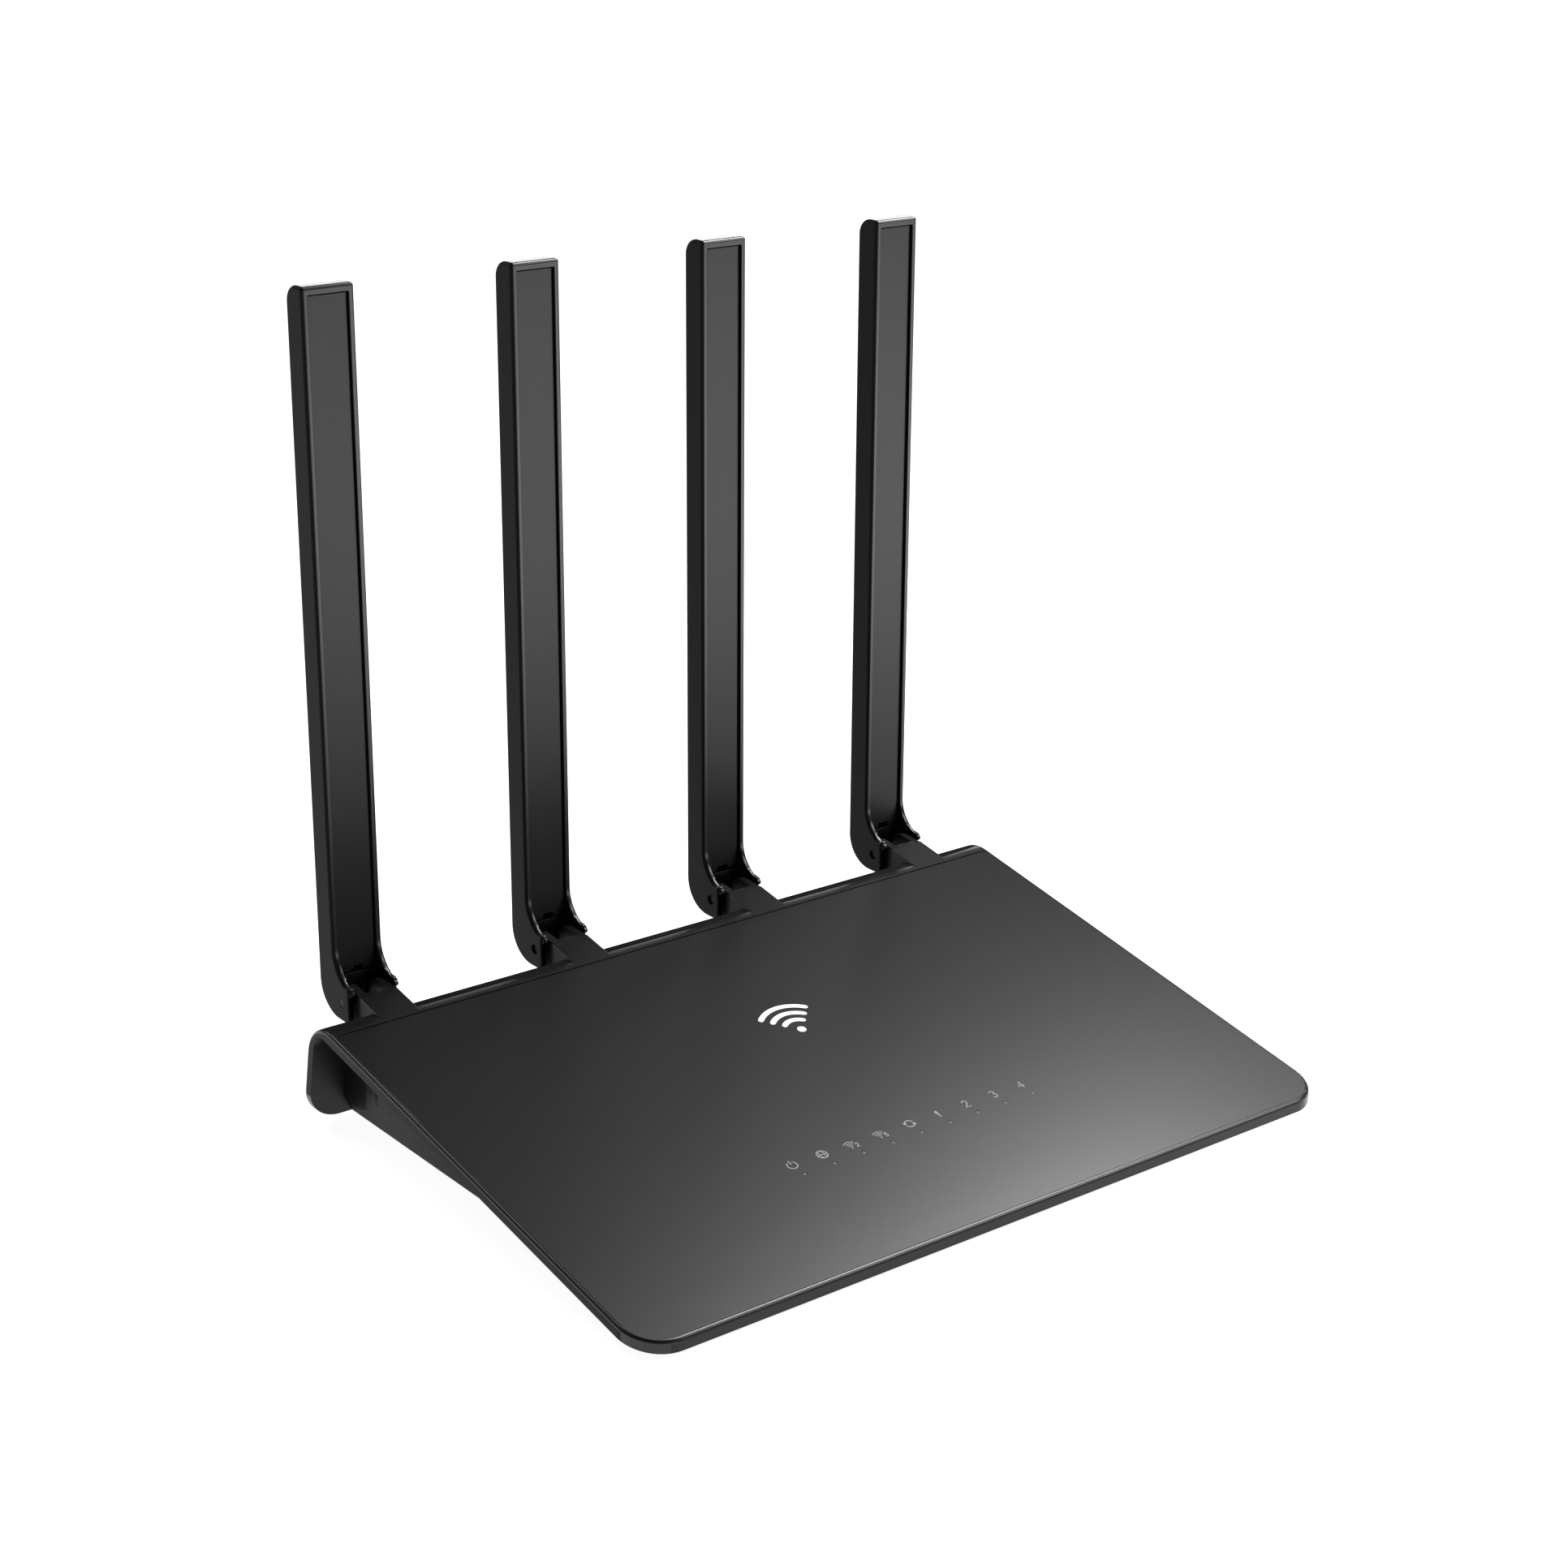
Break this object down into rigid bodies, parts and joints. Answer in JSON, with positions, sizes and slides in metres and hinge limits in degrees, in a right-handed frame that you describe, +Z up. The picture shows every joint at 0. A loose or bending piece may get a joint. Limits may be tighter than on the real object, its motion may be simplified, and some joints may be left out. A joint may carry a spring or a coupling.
{
  "type": "wifi range extender",
  "caption": "Desktop wireless range extender and router: thin sloping wedge case bent down into a rear port wall, with tall hinged antenna blades along the back edge.",
  "frame": {"origin": "centre of the bounding box on the table, under the rubber feet", "axes": "+Z up, -Y towards the thin front edge, +Y towards the wall with the sockets, +X to the right when the front faces the viewer"},
  "size_m": [0.205, 0.154, 0.1998],
  "materials": {
    "cover": "fine matte texture, near black",
    "housing": "satin, near black",
    "tray": "matte, near black",
    "light_guide": "frosted clear acrylic",
    "led": "clear epoxy on white",
    "board": "green solder mask",
    "chip": "moulded epoxy",
    "pad": "soft silicone pad",
    "heatsink": "extruded, satin",
    "can": "tinned, satin",
    "capacitor": "sleeved can",
    "lan_plastic": "moulded, yellow",
    "wan_plastic": "moulded, blue",
    "contacts": "gold plated",
    "jack_plastic": "moulded, black",
    "jack_pin": "nickel plated",
    "button": "matte, near black",
    "coax": "black jacket",
    "antenna_shell": "satin, near black",
    "antenna_panel": "fine matte, near black",
    "radiator": "copper traces on laminate",
    "hinge_pin": "moulded, black",
    "foot": "soft black rubber",
    "screw": "zinc plated",
    "label": "printed film, blank"
  },
  "bodies": {
    "case": {"top_cover": "cover", "upper_housing": "housing", "bottom_case": "tray", "light_guide": "light_guide", "indicator_leds": "led", "main_board": "board", "processor": "chip", "memory_chip": "chip", "thermal_pad": "pad", "heatsink": "heatsink", "shield_can_2g": "can", "shield_can_5g": "can", "lan_transformers": "chip", "power_inductor": "chip", "capacitors": "capacitor", "lan_port_block": "lan_plastic", "lan_port_contacts": "contacts", "wan_port": "wan_plastic", "wan_port_contacts": "contacts", "dc_jack": "jack_plastic", "dc_jack_pin": "jack_pin", "wps_switch": "jack_plastic", "coax_connectors": "contacts", "antenna_1_lower_coax": "coax", "antenna_2_lower_coax": "coax", "antenna_3_lower_coax": "coax", "antenna_4_lower_coax": "coax", "rubber_feet": "foot", "case_screws": "screw", "board_screws": "screw", "rating_label": "label"},
    "antenna_1": {"antenna_1_shell": "antenna_shell", "antenna_1_panel": "antenna_panel", "antenna_1_radiator": "radiator", "antenna_1_upper_coax": "coax", "antenna_1_hinge_pins": "hinge_pin"},
    "antenna_2": {"antenna_2_shell": "antenna_shell", "antenna_2_panel": "antenna_panel", "antenna_2_radiator": "radiator", "antenna_2_upper_coax": "coax", "antenna_2_hinge_pins": "hinge_pin"},
    "antenna_3": {"antenna_3_shell": "antenna_shell", "antenna_3_panel": "antenna_panel", "antenna_3_radiator": "radiator", "antenna_3_upper_coax": "coax", "antenna_3_hinge_pins": "hinge_pin"},
    "antenna_4": {"antenna_4_shell": "antenna_shell", "antenna_4_panel": "antenna_panel", "antenna_4_radiator": "radiator", "antenna_4_upper_coax": "coax", "antenna_4_hinge_pins": "hinge_pin"},
    "wps_button": {"wps_button": "button"}
  },
  "joints": [
    {"name": "antenna_1_tilt", "type": "hinge", "parent": "case", "child": "antenna_1", "pos_m": [-0.08292, 0.0663, 0.0278], "axis": [1, 0, 0], "range_deg": [-90, 90]},
    {"name": "antenna_2_tilt", "type": "hinge", "parent": "case", "child": "antenna_2", "pos_m": [-0.02764, 0.0663, 0.0278], "axis": [1, 0, 0], "range_deg": [-90, 90]},
    {"name": "antenna_3_tilt", "type": "hinge", "parent": "case", "child": "antenna_3", "pos_m": [0.02764, 0.0663, 0.0278], "axis": [1, 0, 0], "range_deg": [-90, 90]},
    {"name": "antenna_4_tilt", "type": "hinge", "parent": "case", "child": "antenna_4", "pos_m": [0.08292, 0.0663, 0.0278], "axis": [1, 0, 0], "range_deg": [-90, 90]},
    {"name": "wps_button_press", "type": "slide", "parent": "case", "child": "wps_button", "axis": [0, -1, 0], "range_m": [0, 0.0006], "stiffness_N_per_m": 900, "springref_m": -0.0004}
  ]
}
